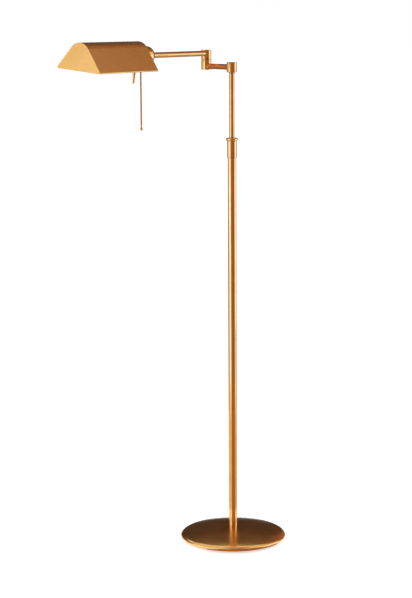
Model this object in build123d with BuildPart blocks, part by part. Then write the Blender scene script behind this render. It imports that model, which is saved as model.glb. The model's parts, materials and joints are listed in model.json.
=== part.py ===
from build123d import *
import os
from math import asin, atan2, cos, radians, sin, sqrt

# Brass swing-arm reading lamp on a round weighted base, in millimetres and degrees.
# The floor is z = 0, +Z is up and the pole stands on the origin.
# A short arm turns on the riser. At its elbow the long arm turns, and runs along -X to the shade.
# The shade turns about the long arm, and stands here tipped a little, lower on its -Y side.

# Clearances
seat_gap = 0.05  # radial room of a pressed, screwed or soldered seat
slip_gap = 0.08  # radial room of a turning or sliding fit
face_gap = 0.05  # room between flat faces that turn on each other
open_gap = 0.3  # room between pieces that pass each other

# Base
base_diameter = 254.0
base_sheet = 1.5  # wall of the spun dome
dome_height = 32.0  # floor to the hub face that the pole stands on
dome_swell = 1.7  # rise of the dome over a straight line from hub to rim
dome_slope = 12.6  # slope of the dome where it meets the rim
hub_radius = 15.0
rim_lift = 3.7  # floor to the underside of the rim
rim_radius = 6.0  # outside of the rolled rim
rim_lip = 7.2  # width of the rim's turned-in underside
pad_margin = 5.8  # edge of the weight to the edge of the pad
pad_thickness = 3.0
weight_room = 2.0  # between the weight and the rim's lip
recess_radius = 24.0  # hollow under the weight that holds nut and washer
recess_depth = 12.0
gland_width = 9.0  # cord gland in the rim, on the +X side
gland_height = 7.7
gland_bore = 5.2
gland_grip = 8.0  # length of the gland inside the weight's groove

# Pole and its screwed foot
pole_od = 20.0
pole_wall = 1.2
foot_length = 26.0
nipple_od = 10.0
nipple_bore = 6.5
nipple_tail = 2.0  # thread that shows under the nut
nipple_margin = 3.0  # top of the foot to the end of the nipple
base_washer_od = 36.0
base_washer_thickness = 2.5
base_nut_flats = 17.0
base_nut_height = 6.0

# Friction collar at the top of the pole
riser_showing = 149.75  # length of riser above the collar's bead
collar_od = 22.6
collar_length = 39.0
collar_grip = 24.0  # length of pole inside the sleeve
bead_diameter = 28.0
bead_height = 7.0
bead_round = 3.2
cap_spigot = 4.0
bush_slit = 1.5

# Riser and arms are drawn from one tube
tube_od = 13.0
tube_wall = 1.0
riser_length = 400.0
guide_length = 14.0  # bush on the riser's lower end
guide_gap = 0.15  # radial room of that bush in the pole
plug_depth = 16.0  # turned plugs inside the tube ends

# Swivels: hollow pivots, glides, spring washers and nuts
lower_arm_height = 1137.0  # floor to the short arm's axis
lower_arm_reach = 116.0  # pole axis to elbow axis
lower_arm_angle = 63.1  # from +X, seen from above
arm_step = 30.0  # short arm's axis to long arm's axis
knuckle_diameter = 24.0
knuckle_height = 22.8
knuckle_wall = 3.0
knuckle_floor = 5.0
knuckle_chamfer = 0.6
elbow_margin = 8.5  # arm axis to the end of the elbow
cap_thickness = 2.0
socket_depth = 4.0  # how far an arm reaches into its barrel
pivot_od = 8.0
pivot_bore = 5.0
pivot_tail = 1.0  # thread that shows past a nut
shoulder_thickness = 2.0
glide_diameter = 21.0
glide_thickness = 0.8
spring_washer_od = 12.4
spring_washer_thickness = 1.5
pivot_nut_flats = 12.0
pivot_nut_height = 5.0
bolt_head_diameter = 13.0
bolt_head_thickness = 3.0
set_screw_diameter = 3.0
set_screw_angle = 230.0  # from +X, seen from above
set_screw_sink = 0.5
set_screw_key = 1.5  # hexagon socket, across flats

# Shade and its end plates
upper_arm_reach = 283.4  # elbow axis to the near end of the shade
shade_length = 219.5
shade_half_width = 60.0
shade_drop = 28.4  # arm axis to the lower edge
shade_rise = 32.3  # arm axis to the ridge
ridge_radius = 28.0
edge_radius = 1.8  # turned-in lower edges
edge_lip = 13.0  # width of the turned-in edge, with its radius
shade_sheet = 1.0
end_thickness = 1.2
shade_tilt = 6.25  # turn about +X

# Socket cup, swivel spindle and lamp holder
cup_diameter = 42.0
cup_barrel = 27.0  # straight part of the cup
cup_sheet = 1.5
spindle_flange = 2.5
spindle_bush_length = 20.0
spindle_washer_od = 10.2
spindle_washer_thickness = 1.5
spindle_nut_height = 4.5
spindle_thread = 11.0  # length screwed into the switch housing
housing_diameter = 30.0
housing_neck_diameter = 12.0
housing_back = 10.0  # behind the centre of the cup's dome
housing_front = 2.4  # outside the shade's end plate
holder_diameter = 36.0
holder_length = 27.0
holder_floor = 4.0
holder_bore = 27.5
shell_wall = 0.5
shell_length = 21.0
contact_diameter = 10.0
contact_thickness = 1.5

# Tubular bulb
bulb_cap_diameter = 26.0
bulb_cap_length = 23.5
bulb_cap_wall = 0.5
bulb_tip_diameter = 8.0
bulb_tip_length = 2.0
bulb_cone_length = 3.5
bulb_diameter = 28.0
bulb_wall = 1.0
bulb_length = 119.5
bulb_shoulder = 12.0  # length over which the neck widens
bulb_neck_depth = 8.0  # glass inside the cap

# Clamp ring with the handle that turns the shade
clamp_diameter = 42.0
clamp_length = 18.0
handle_offset = 10.0  # end plate to the handle's axis
handle_stud_diameter = 4.0
handle_stud_depth = 2.6
handle_shoulder_diameter = 8.4
handle_shoulder_length = 3.0
handle_root_diameter = 7.4
handle_tip_diameter = 4.4
handle_end = 62.0  # arm axis to the tip

# Pull chain
chain_offset = 14.0  # end plate to the chain, on the cup
guide_flange_diameter = 9.0
guide_flange_thickness = 1.5
guide_barrel_diameter = 6.0
guide_inside = 1.5  # length inside the cup's wall
guide_flare_length = 5.0
guide_mouth_diameter = 8.0
guide_mouth_bore = 6.0
plunger_diameter = 2.4
plunger_top = 5.0  # from the arm axis, inside the switch housing
chain_pivot = 30.5  # from the arm axis, to the pin that the chain hangs on
eye_diameter = 3.6  # eye at the plunger's lower end
eye_width = 2.4
link_pin_diameter = 1.2
link_wall = 0.8  # cheeks of the link that carries the chain
link_crown = 1.0
link_depth = 2.4
bead_size = 3.2
bead_pitch = 3.88
bead_wire = 1.0
bead_sides = 8  # sides of a bead's section
chain_end = 168.0  # arm axis to the bottom of the drop
drop_diameter = 6.5
drop_length = 11.5

# Derived sizes
base_radius = base_diameter / 2
rim_centre = base_radius - rim_radius
lip_radius = base_radius - rim_radius - rim_lip
hub_under = dome_height - base_sheet
weight_radius = lip_radius - weight_room
weight_edge = rim_lift + 2 * rim_radius - base_sheet
recess_top = pad_thickness + recess_depth
gland_top = pad_thickness + gland_height
nipple_radius = nipple_od / 2
pole_radius = pole_od / 2
pole_inner = pole_radius - pole_wall
tube_radius = tube_od / 2
tube_inner = tube_radius - tube_wall
plug_radius = tube_inner - seat_gap
pivot_radius = pivot_od / 2
wire_radius = pivot_bore / 2
knuckle_radius = knuckle_diameter / 2
cavity_radius = knuckle_radius - knuckle_wall
socket_seat = knuckle_radius - socket_depth
knuckle_bottom = lower_arm_height - knuckle_height / 2
riser_top = knuckle_bottom - face_gap - glide_thickness - shoulder_thickness
collar_top = riser_top - riser_showing - bead_height
collar_bottom = collar_top - collar_length
pole_top = collar_bottom + collar_grip
upper_arm_height = lower_arm_height + arm_step
elbow_bottom = lower_arm_height - elbow_margin
elbow_top = upper_arm_height + elbow_margin
elbow_seam = lower_arm_height + arm_step / 2 - glide_thickness / 2
upper_barrel_bottom = elbow_seam + glide_thickness + face_gap
pivot_stack = knuckle_floor + face_gap + spring_washer_thickness + pivot_nut_height + pivot_tail
elbow_x = lower_arm_reach * cos(radians(lower_arm_angle))
elbow_y = lower_arm_reach * sin(radians(lower_arm_angle))
shade_end = upper_arm_reach + shade_length
cup_radius = cup_diameter / 2
dome_centre = upper_arm_reach - cup_barrel
cup_nose = dome_centre - sqrt(cup_radius**2 - tube_radius**2)
arm_end = cup_nose - spindle_flange - face_gap
holder_radius = holder_diameter / 2
holder_back = upper_arm_reach - housing_front
holder_front = holder_back + holder_length
shell_radius = holder_bore / 2 - seat_gap
bulb_start = holder_back + holder_floor + contact_thickness + face_gap
bulb_cap_end = bulb_start + bulb_cap_length
bulb_radius = bulb_diameter / 2
neck_radius = bulb_cap_diameter / 2 - bulb_cap_wall - seat_gap
chain_along = upper_arm_reach - chain_offset
handle_along = upper_arm_reach + handle_offset
tilt = radians(shade_tilt)

# Planes and axes. Lengths along the long arm are measured from the elbow axis towards the shade.
elbow_axis = Axis((elbow_x, elbow_y, 0), (0, 0, 1))
elbow_plane = Plane((elbow_x, elbow_y, 0), x_dir=(1, 0, 0), z_dir=(0, 0, 1))
elbow_section = Plane((elbow_x, elbow_y, 0), x_dir=(1, 0, 0), z_dir=(0, -1, 0))
arm_origin = (elbow_x, elbow_y, upper_arm_height)
arm_axis = Axis(arm_origin, (-1, 0, 0))
arm_plane = Plane(arm_origin, x_dir=(0, -1, 0), z_dir=(-1, 0, 0))
arm_section = Plane(arm_origin, x_dir=(0, 0, 1), z_dir=(0, -1, 0))
head_side = (0, -cos(tilt), -sin(tilt))
head_down = (0, sin(tilt), -cos(tilt))
head_plane = Plane(arm_origin, x_dir=head_side, z_dir=(-1, 0, 0))
lower_arm_heading = (cos(radians(lower_arm_angle)), sin(radians(lower_arm_angle)), 0)


def drop_section(along):
    # Section plane of a piece that points down from the long arm's axis, x across and y down
    return Plane((elbow_x - along, elbow_y, upper_arm_height), x_dir=(-1, 0, 0), z_dir=head_side)


def drop_axis(along):
    return Axis((elbow_x - along, elbow_y, upper_arm_height), head_down)


def drop_plane(along):
    # Plane across the same piece, facing down along it
    return Plane((elbow_x - along, elbow_y, upper_arm_height), z_dir=head_down)


def ring(plane, outer, inner, height):
    with BuildPart() as piece:
        with BuildSketch(plane):
            Circle(outer)
            Circle(inner, mode=Mode.SUBTRACT)
        extrude(amount=height)
    return piece


def hex_nut(plane, flats, bore, height):
    with BuildPart() as piece:
        with BuildSketch(plane):
            RegularPolygon(flats / 2, 6, major_radius=False)
            Circle(bore, mode=Mode.SUBTRACT)
        extrude(amount=height)
    return piece


def turned(section, axis, points):
    # Solid of revolution from the corners of its half section
    with BuildPart() as piece:
        with BuildSketch(section):
            with BuildLine():
                Polyline(*points, close=True)
            make_face()
        revolve(axis=axis)
    return piece


def barrel(foot, height, floor_at_foot, bore, arm_height, arm_heading):
    # Swivel barrel: open cavity, floor with the pivot's hole, side socket for an arm tube
    cavity_depth = height - knuckle_floor
    cavity_foot = knuckle_floor if floor_at_foot else 0
    arm_start = Plane((foot.origin.X, foot.origin.Y, arm_height), z_dir=arm_heading)
    with BuildPart() as piece:
        with BuildSketch(foot):
            Circle(knuckle_radius)
        extrude(amount=height)
        rims = piece.edges().filter_by(GeomType.CIRCLE)
        chamfer(rims, knuckle_chamfer)
        with BuildSketch(foot):
            Circle(bore)
        extrude(amount=height, mode=Mode.SUBTRACT)
        with BuildSketch(foot.offset(cavity_foot)):
            Circle(cavity_radius)
        extrude(amount=cavity_depth, mode=Mode.SUBTRACT)
        with BuildSketch(arm_start.offset(socket_seat)):
            Circle(tube_radius + seat_gap)
        extrude(amount=knuckle_radius, mode=Mode.SUBTRACT)
        with BuildSketch(arm_start):
            Circle(tube_inner)
        extrude(amount=knuckle_radius, mode=Mode.SUBTRACT)
    return piece


def shade_outline():
    # Corners of the shade's section: turned-in edge, slope, sharp ridge, slope, turned-in edge
    ridge_centre = shade_rise - ridge_radius
    to_edge = sqrt(shade_half_width**2 + (ridge_centre + shade_drop) ** 2)
    lean = atan2(shade_half_width, ridge_centre + shade_drop) - asin(ridge_radius / to_edge)
    ridge = ridge_centre + ridge_radius / sin(lean)
    return [
        (-shade_half_width + edge_lip, -shade_drop),
        (-shade_half_width, -shade_drop),
        (0, ridge),
        (shade_half_width, -shade_drop),
        (shade_half_width - edge_lip, -shade_drop),
    ]


def end_plate(along, hole):
    with BuildPart() as piece:
        with BuildSketch(head_plane.offset(along)):
            with BuildLine():
                FilletPolyline(*shade_outline(), radius=[edge_radius, ridge_radius, edge_radius])
                Line(shade_outline()[-1], shade_outline()[0])
            make_face()
            if hole:
                Circle(hole, mode=Mode.SUBTRACT)
        extrude(amount=end_thickness)
    return piece


# Base: felt pad, cast weight and spun dome
with BuildPart() as base_pad:
    with BuildSketch():
        Circle(weight_radius - pad_margin)
    extrude(amount=pad_thickness)

with BuildPart() as base_weight:
    with BuildSketch(Plane.XZ):
        with BuildLine():
            Polyline(
                (nipple_radius + open_gap, recess_top),
                (recess_radius, recess_top),
                (recess_radius, pad_thickness),
                (weight_radius, pad_thickness),
                (weight_radius, weight_edge),
                (hub_radius - base_sheet, hub_under),
                (nipple_radius + open_gap, hub_under),
                close=True,
            )
        make_face()
    revolve(axis=Axis.Z)
    with BuildSketch(Plane.YZ):
        with Locations((0, pad_thickness)):
            Rectangle(gland_width, gland_height, align=(Align.CENTER, Align.MIN))
    extrude(amount=weight_radius, mode=Mode.SUBTRACT)

with BuildPart() as base_shell:
    with BuildSketch(Plane.XZ):
        with BuildLine():
            hub = Line((nipple_radius + open_gap, dome_height), (hub_radius, dome_height))
            rim = CenterArc((rim_centre, rim_lift + rim_radius), rim_radius, 90 - dome_slope, dome_slope - 180)
            SagittaArc(hub @ 1, rim @ 0, dome_swell)
            Line(rim @ 1, (lip_radius, rim_lift))
            offset(amount=base_sheet, side=Side.RIGHT)
        make_face()
    revolve(axis=Axis.Z)
    with BuildSketch(Plane.YZ.offset(weight_radius)):
        with Locations((0, gland_top + seat_gap)):
            Rectangle(gland_width + 2 * seat_gap, gland_top, align=(Align.CENTER, Align.MAX))
    extrude(amount=base_radius, mode=Mode.SUBTRACT)

with BuildPart() as cord_gland:
    with BuildSketch(Plane.YZ.offset(weight_radius - gland_grip)):
        with Locations((0, rim_lift)):
            Rectangle(gland_width - 2 * seat_gap, gland_top - seat_gap - rim_lift, align=(Align.CENTER, Align.MIN))
        with Locations((0, (rim_lift + gland_top) / 2)):
            Circle(gland_bore / 2, mode=Mode.SUBTRACT)
    extrude(amount=base_radius - weight_radius + gland_grip)

# Pole, its screwed foot and the nut under the weight
lower_tube = ring(Plane.XY.offset(dome_height), pole_radius, pole_inner, pole_top - dome_height)
tube_foot = ring(Plane.XY.offset(dome_height), pole_inner - seat_gap, nipple_radius + seat_gap, foot_length)
base_nut_bottom = recess_top - base_washer_thickness - base_nut_height
nipple_bottom = base_nut_bottom - nipple_tail
base_nipple = ring(
    Plane.XY.offset(nipple_bottom),
    nipple_radius,
    nipple_bore / 2,
    dome_height + foot_length - nipple_margin - nipple_bottom,
)
base_washer = ring(
    Plane.XY.offset(recess_top - base_washer_thickness),
    base_washer_od / 2,
    nipple_radius + open_gap,
    base_washer_thickness,
)
base_nut = hex_nut(
    Plane.XY.offset(base_nut_bottom), base_nut_flats, nipple_radius + seat_gap, base_nut_height
)

# Friction collar: sleeve over the pole, split bush that grips the riser, beaded cap
collar_sleeve = ring(
    Plane.XY.offset(collar_bottom), collar_od / 2, pole_radius + seat_gap, collar_length
)

with BuildPart() as collar_bush:
    with BuildSketch(Plane.XY.offset(pole_top)):
        Circle(pole_radius)
        Circle(tube_radius + slip_gap, mode=Mode.SUBTRACT)
        Rectangle(pole_od, bush_slit, align=(Align.MIN, Align.CENTER), mode=Mode.SUBTRACT)
    extrude(amount=collar_top - cap_spigot - pole_top)

with BuildPart() as collar_cap:
    with BuildSketch(Plane.XZ):
        with Locations((0, collar_top)):
            bead = Rectangle(bead_diameter / 2, bead_height, align=Align.MIN)
        fillet(bead.vertices().group_by(Axis.X)[-1], bead_round)
        with Locations((0, collar_top)):
            Rectangle(pole_radius, cap_spigot, align=(Align.MIN, Align.MAX))
        with Locations((0, collar_top - cap_spigot)):
            Rectangle(
                tube_radius + open_gap, cap_spigot + bead_height, align=Align.MIN, mode=Mode.SUBTRACT
            )
    revolve(axis=Axis.Z)

# Riser: tube, guide bush at its foot, spindle that the short arm turns on
riser_bottom = riser_top - riser_length
riser_tube = ring(Plane.XY.offset(riser_bottom), tube_radius, tube_inner, riser_length)
guide_radius = pole_inner - guide_gap
riser_guide = turned(
    Plane.XZ,
    Axis.Z,
    [
        (wire_radius, riser_bottom - guide_length),
        (guide_radius, riser_bottom - guide_length),
        (guide_radius, riser_bottom),
        (plug_radius, riser_bottom),
        (plug_radius, riser_bottom + plug_depth),
        (wire_radius, riser_bottom + plug_depth),
    ],
)
riser_shoulder = riser_top + shoulder_thickness
riser_spindle = turned(
    Plane.XZ,
    Axis.Z,
    [
        (wire_radius, riser_top - plug_depth),
        (plug_radius, riser_top - plug_depth),
        (plug_radius, riser_top),
        (tube_radius, riser_top),
        (tube_radius, riser_shoulder),
        (pivot_radius, riser_shoulder),
        (pivot_radius, knuckle_bottom + pivot_stack),
        (wire_radius, knuckle_bottom + pivot_stack),
    ],
)
pole_glide = ring(
    Plane.XY.offset(riser_shoulder), glide_diameter / 2, pivot_radius + seat_gap, glide_thickness
)
pole_washer_foot = knuckle_bottom + knuckle_floor + face_gap
pole_spring_washer = ring(
    Plane.XY.offset(pole_washer_foot),
    spring_washer_od / 2,
    pivot_radius + seat_gap,
    spring_washer_thickness,
)
pole_nut = hex_nut(
    Plane.XY.offset(pole_washer_foot + spring_washer_thickness),
    pivot_nut_flats,
    pivot_radius + seat_gap,
    pivot_nut_height,
)

# Short arm: knuckle on the riser, tube, lower half of the elbow with the hollow bolt
pole_knuckle = barrel(
    Plane.XY.offset(knuckle_bottom),
    knuckle_height,
    True,
    pivot_radius + slip_gap,
    lower_arm_height,
    lower_arm_heading,
)
knuckle_top = knuckle_bottom + knuckle_height
with BuildPart() as pole_knuckle_cap:
    with BuildSketch(Plane.XY.offset(knuckle_top - cap_thickness)):
        Circle(cavity_radius - seat_gap)
    extrude(amount=cap_thickness)

lower_arm_start = Plane((0, 0, lower_arm_height), z_dir=lower_arm_heading).offset(socket_seat)
lower_arm_tube = ring(lower_arm_start, tube_radius, tube_inner, lower_arm_reach - 2 * socket_seat)

elbow_lower = barrel(
    elbow_plane.offset(elbow_bottom),
    elbow_seam - elbow_bottom,
    False,
    pivot_radius + seat_gap,
    lower_arm_height,
    (-lower_arm_heading[0], -lower_arm_heading[1], 0),
)
with BuildPart() as elbow_lower_cap:
    with BuildSketch(elbow_plane.offset(elbow_bottom)):
        Circle(cavity_radius - seat_gap)
    extrude(amount=cap_thickness)

bolt_seat = elbow_seam - knuckle_floor
bolt_top = upper_barrel_bottom + pivot_stack
elbow_bolt = turned(
    elbow_section,
    elbow_axis,
    [
        (wire_radius, bolt_seat - bolt_head_thickness),
        (bolt_head_diameter / 2, bolt_seat - bolt_head_thickness),
        (bolt_head_diameter / 2, bolt_seat),
        (pivot_radius, bolt_seat),
        (pivot_radius, bolt_top),
        (wire_radius, bolt_top),
    ],
)
elbow_glide = ring(
    elbow_plane.offset(elbow_seam), glide_diameter / 2, pivot_radius + seat_gap, glide_thickness
)
elbow_washer_foot = upper_barrel_bottom + knuckle_floor + face_gap
elbow_spring_washer = ring(
    elbow_plane.offset(elbow_washer_foot),
    spring_washer_od / 2,
    pivot_radius + seat_gap,
    spring_washer_thickness,
)
elbow_nut = hex_nut(
    elbow_plane.offset(elbow_washer_foot + spring_washer_thickness),
    pivot_nut_flats,
    pivot_radius + seat_gap,
    pivot_nut_height,
)

# Long arm: upper half of the elbow, its set screw, tube and the bush for the shade's spindle
set_screw_heading = (cos(radians(set_screw_angle)), sin(radians(set_screw_angle)), 0)
set_screw_plane = Plane(
    (elbow_x, elbow_y, upper_barrel_bottom + knuckle_floor / 2), z_dir=set_screw_heading
)
set_screw_start = pivot_radius + slip_gap + open_gap
set_screw_end = knuckle_radius - set_screw_sink

upper_barrel = barrel(
    elbow_plane.offset(upper_barrel_bottom),
    elbow_top - upper_barrel_bottom,
    True,
    pivot_radius + slip_gap,
    upper_arm_height,
    (-1, 0, 0),
)
with BuildPart() as elbow_upper:
    add(upper_barrel.part)
    with BuildSketch(set_screw_plane):
        Circle(set_screw_diameter / 2 + seat_gap)
    extrude(amount=knuckle_radius, mode=Mode.SUBTRACT)

with BuildPart() as elbow_upper_cap:
    with BuildSketch(elbow_plane.offset(elbow_top - cap_thickness)):
        Circle(cavity_radius - seat_gap)
    extrude(amount=cap_thickness)

with BuildPart() as elbow_set_screw:
    with BuildSketch(set_screw_plane.offset(set_screw_start)):
        Circle(set_screw_diameter / 2)
    extrude(amount=set_screw_end - set_screw_start)
    with BuildSketch(set_screw_plane.offset(set_screw_end)):
        RegularPolygon(set_screw_key / 2, 6, major_radius=False)
    extrude(amount=-set_screw_key, mode=Mode.SUBTRACT)

upper_arm_tube = ring(arm_plane.offset(socket_seat), tube_radius, tube_inner, arm_end - socket_seat)
spindle_bush_back = arm_end - spindle_bush_length
spindle_bush = ring(
    arm_plane.offset(spindle_bush_back), plug_radius, pivot_radius + slip_gap, spindle_bush_length
)

# Shade head: hollow spindle in the arm's end, cup, switch housing and lamp holder
spindle_washer_back = spindle_bush_back - face_gap - spindle_washer_thickness
spindle_nut_back = spindle_washer_back - spindle_nut_height
cup_floor = cup_nose + cup_sheet
head_spindle = turned(
    arm_section,
    arm_axis,
    [
        (wire_radius, spindle_nut_back - pivot_tail),
        (pivot_radius, spindle_nut_back - pivot_tail),
        (pivot_radius, cup_nose - spindle_flange),
        (tube_radius, cup_nose - spindle_flange),
        (tube_radius, cup_nose),
        (pivot_radius, cup_nose),
        (pivot_radius, cup_floor + spindle_thread),
        (wire_radius, cup_floor + spindle_thread),
    ],
)
spindle_washer = ring(
    arm_plane.offset(spindle_washer_back),
    spindle_washer_od / 2,
    pivot_radius + seat_gap,
    spindle_washer_thickness,
)
spindle_nut = ring(
    arm_plane.offset(spindle_nut_back),
    spindle_washer_od / 2,
    pivot_radius + seat_gap,
    spindle_nut_height,
)

with BuildPart() as socket_cup:
    with BuildSketch(arm_section):
        with BuildLine():
            nose = Line((pivot_radius + seat_gap, cup_nose), (tube_radius, cup_nose))
            side = Line((cup_radius, dome_centre), (cup_radius, upper_arm_reach))
            TangentArc(side @ 0, nose @ 1, tangent=(0, -1))
            offset(amount=cup_sheet, side=Side.LEFT)
        make_face()
    revolve(axis=arm_axis)
    with BuildSketch(drop_plane(chain_along)):
        Circle(guide_barrel_diameter / 2 + seat_gap)
    extrude(amount=cup_diameter, mode=Mode.SUBTRACT)

with BuildPart() as switch_housing:
    with BuildSketch(arm_section):
        with BuildLine():
            Polyline(
                (0, cup_floor + spindle_thread),
                (pivot_radius + seat_gap, cup_floor + spindle_thread),
                (pivot_radius + seat_gap, cup_floor),
                (housing_neck_diameter / 2, cup_floor),
                (housing_neck_diameter / 2, dome_centre - housing_back),
                (housing_diameter / 2, dome_centre - housing_back),
                (housing_diameter / 2, holder_back),
                (0, holder_back),
                close=True,
            )
        make_face()
    revolve(axis=arm_axis)
    with BuildSketch(drop_plane(chain_along).offset(plunger_top - open_gap)):
        Circle(plunger_diameter / 2 + slip_gap)
    extrude(amount=housing_diameter, mode=Mode.SUBTRACT)

with BuildPart() as lamp_holder:
    with BuildSketch(arm_plane.offset(holder_back)):
        Circle(holder_radius)
    extrude(amount=holder_length)
    with BuildSketch(arm_plane.offset(holder_back + holder_floor)):
        Circle(holder_bore / 2)
    extrude(amount=holder_length, mode=Mode.SUBTRACT)

holder_shell = ring(
    arm_plane.offset(holder_back + holder_floor),
    shell_radius,
    shell_radius - shell_wall,
    shell_length,
)
with BuildPart() as holder_contact:
    with BuildSketch(arm_plane.offset(holder_back + holder_floor)):
        Circle(contact_diameter / 2)
    extrude(amount=contact_thickness)

# Tubular bulb: cap with its contact tip, and the glass envelope that is open inside the cap
cone_start = bulb_start + bulb_tip_length
cone_end = cone_start + bulb_cone_length
cap_inner = bulb_cap_diameter / 2 - bulb_cap_wall
bulb_cap = turned(
    arm_section,
    arm_axis,
    [
        (0, bulb_start),
        (bulb_tip_diameter / 2, bulb_start),
        (bulb_tip_diameter / 2, cone_start),
        (bulb_cap_diameter / 2, cone_end),
        (bulb_cap_diameter / 2, bulb_cap_end),
        (cap_inner, bulb_cap_end),
        (cap_inner, cone_end),
        (0, cone_end),
    ],
)

with BuildPart() as bulb_glass:
    with BuildSketch(arm_section):
        with BuildLine():
            neck = Line((neck_radius, bulb_cap_end - bulb_neck_depth), (neck_radius, bulb_cap_end))
            shoulder = Line(neck @ 1, (bulb_radius, bulb_cap_end + bulb_shoulder))
            wall = Line(shoulder @ 1, (bulb_radius, bulb_start + bulb_length - bulb_radius))
            TangentArc(wall @ 1, (0, bulb_start + bulb_length), tangent=(0, 1))
            offset(amount=bulb_wall, side=Side.LEFT)
        make_face()
    revolve(axis=arm_axis)

# Clamp ring inside the shade, and the handle screwed into it
clamp_radius = clamp_diameter / 2
with BuildPart() as shade_clamp:
    with BuildSketch(arm_plane.offset(upper_arm_reach + end_thickness)):
        Circle(clamp_radius)
        Circle(holder_radius + seat_gap, mode=Mode.SUBTRACT)
    extrude(amount=clamp_length)
    with BuildSketch(drop_plane(handle_along)):
        Circle(handle_stud_diameter / 2 + seat_gap)
    extrude(amount=clamp_diameter, mode=Mode.SUBTRACT)

handle_root = clamp_radius + handle_shoulder_length
tip_centre = handle_end - handle_tip_diameter / 2
with BuildPart() as turn_handle:
    with BuildSketch(drop_section(handle_along)):
        with BuildLine():
            stud = Polyline(
                (0, clamp_radius - handle_stud_depth),
                (handle_stud_diameter / 2, clamp_radius - handle_stud_depth),
                (handle_stud_diameter / 2, clamp_radius),
                (handle_shoulder_diameter / 2, clamp_radius),
                (handle_shoulder_diameter / 2, handle_root),
                (handle_root_diameter / 2, handle_root),
                (handle_tip_diameter / 2, tip_centre),
            )
            tip = CenterArc((0, tip_centre), handle_tip_diameter / 2, 0, 90)
            Line(tip @ 1, stud @ 0)
        make_face()
    revolve(axis=drop_axis(handle_along))

# Shade: bent sheet with turned-in lower edges, and the two end plates soldered to it
with BuildPart() as shade_roof:
    with BuildSketch(head_plane.offset(upper_arm_reach + end_thickness)):
        with BuildLine():
            FilletPolyline(*shade_outline(), radius=[edge_radius, ridge_radius, edge_radius])
            offset(amount=shade_sheet, side=Side.RIGHT)
        make_face()
    extrude(amount=shade_length - 2 * end_thickness)

shade_arm_end = end_plate(upper_arm_reach, holder_radius + open_gap)
shade_free_end = end_plate(shade_end - end_thickness, 0)

# Pull switch: flared guide in the cup, sliding plunger, bead chain and drop
guide_flange_end = cup_radius + guide_flange_thickness
guide_mouth = guide_flange_end + guide_flare_length
plunger_radius = plunger_diameter / 2
with BuildPart() as chain_guide:
    with BuildSketch(drop_section(chain_along)):
        with BuildLine():
            Polyline(
                (plunger_radius + slip_gap, cup_radius - cup_sheet - guide_inside),
                (guide_barrel_diameter / 2, cup_radius - cup_sheet - guide_inside),
                (guide_barrel_diameter / 2, cup_radius),
                (guide_flange_diameter / 2, cup_radius),
                (guide_flange_diameter / 2, guide_flange_end),
                (guide_barrel_diameter / 2, guide_flange_end),
                (guide_mouth_diameter / 2, guide_mouth),
                (guide_mouth_bore / 2, guide_mouth),
                (plunger_radius + slip_gap, guide_flange_end),
                close=True,
            )
        make_face()
    revolve(axis=drop_axis(chain_along))

chain_hang = head_plane.offset(chain_along).from_local_coords((0, -chain_pivot, 0))
chain_pin = Plane(chain_hang, x_dir=(0, 1, 0), z_dir=(1, 0, 0))
with BuildPart() as switch_plunger:
    with BuildSketch(drop_plane(chain_along).offset(plunger_top)):
        Circle(plunger_radius)
    extrude(amount=chain_pivot - plunger_top)
    with BuildSketch(chain_pin):
        Circle(eye_diameter / 2)
    extrude(amount=eye_width / 2, both=True)
    with BuildSketch(chain_pin):
        Circle(link_pin_diameter / 2 + slip_gap)
    extrude(amount=eye_width, both=True, mode=Mode.SUBTRACT)

# The chain hangs straight down from a link, whose pin turns in the plunger's eye
drop_bottom = upper_arm_height - chain_end
drop_top = drop_bottom + drop_length
link_throat = eye_diameter / 2 + open_gap
link_foot = link_throat + link_crown
link_inside = eye_width + 2 * open_gap
link_width = link_inside + 2 * link_wall
bead_count = int((chain_hang.Z - bead_size / 2 - drop_top) / bead_pitch) + 1
chain_axis = Axis(chain_hang, (0, 0, -1))
chain_section = Plane(chain_hang, x_dir=(1, 0, 0), z_dir=(0, 1, 0))
drop_start = chain_hang.Z - drop_top

with BuildPart() as bead_chain:
    with BuildSketch(chain_pin):
        Circle(link_depth / 2)
        Rectangle(link_depth, link_foot, align=(Align.CENTER, Align.MAX))
    extrude(amount=link_width / 2, both=True)
    with BuildSketch(chain_pin):
        with Locations((0, -link_throat)):
            Rectangle(2 * link_depth, 2 * link_foot, align=(Align.CENTER, Align.MIN))
    extrude(amount=link_inside / 2, both=True, mode=Mode.SUBTRACT)
    with BuildSketch(chain_pin):
        Circle(link_pin_diameter / 2)
    extrude(amount=link_width / 2, both=True)
    with BuildSketch(chain_section):
        with Locations((0, link_throat)):
            Rectangle(bead_wire / 2, drop_start - link_throat, align=Align.MIN)
        with Locations(*[(0, bead * bead_pitch) for bead in range(1, bead_count)]):
            RegularPolygon(bead_size / 2, bead_sides, major_radius=False, rotation=180 / bead_sides)
        with Locations((0, drop_start / 2)):
            Rectangle(bead_size, chain_end, align=(Align.MAX, Align.CENTER), mode=Mode.SUBTRACT)
    revolve(axis=chain_axis)

with BuildPart() as chain_drop:
    with BuildSketch(chain_section):
        drop_radius = drop_diameter / 2
        with BuildLine():
            crown = Line((0, drop_start), (bead_size / 2, drop_start))
            body = Spline(
                crown @ 1,
                (drop_radius, drop_start + drop_length - drop_radius),
                (0, drop_start + drop_length),
                tangents=((0, 1), (-1, 0)),
            )
            Line(body @ 1, crown @ 0)
        make_face()
    revolve(axis=chain_axis)

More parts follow.
